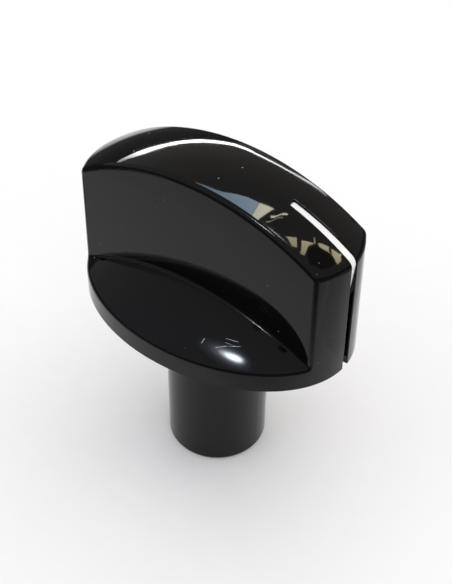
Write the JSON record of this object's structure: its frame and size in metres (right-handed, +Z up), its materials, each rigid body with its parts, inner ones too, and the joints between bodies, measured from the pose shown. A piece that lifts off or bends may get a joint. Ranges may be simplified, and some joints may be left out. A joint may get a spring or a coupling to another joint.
{
  "type": "stove knob",
  "caption": "Push-on stove knob: upright grip blade on an oval domed base, white pointer line along the top, and a long round stem with a D-shaped spindle socket.",
  "frame": {"origin": "centre of the stem's end, on the spindle's axis, where the knob stands", "axes": "+Z up the spindle's axis towards the blade's crown, +X towards the pointer end of the blade"},
  "size_m": [0.042, 0.029, 0.0509],
  "materials": {
    "black_moulding": "polished, deep gloss",
    "pointer_white": "as moulded",
    "spring_steel": "bright rolled strip"
  },
  "bodies": {
    "root": {"knob_body": "black_moulding", "pointer_insert": "pointer_white", "spring_clip": "spring_steel"}
  },
  "joints": []
}
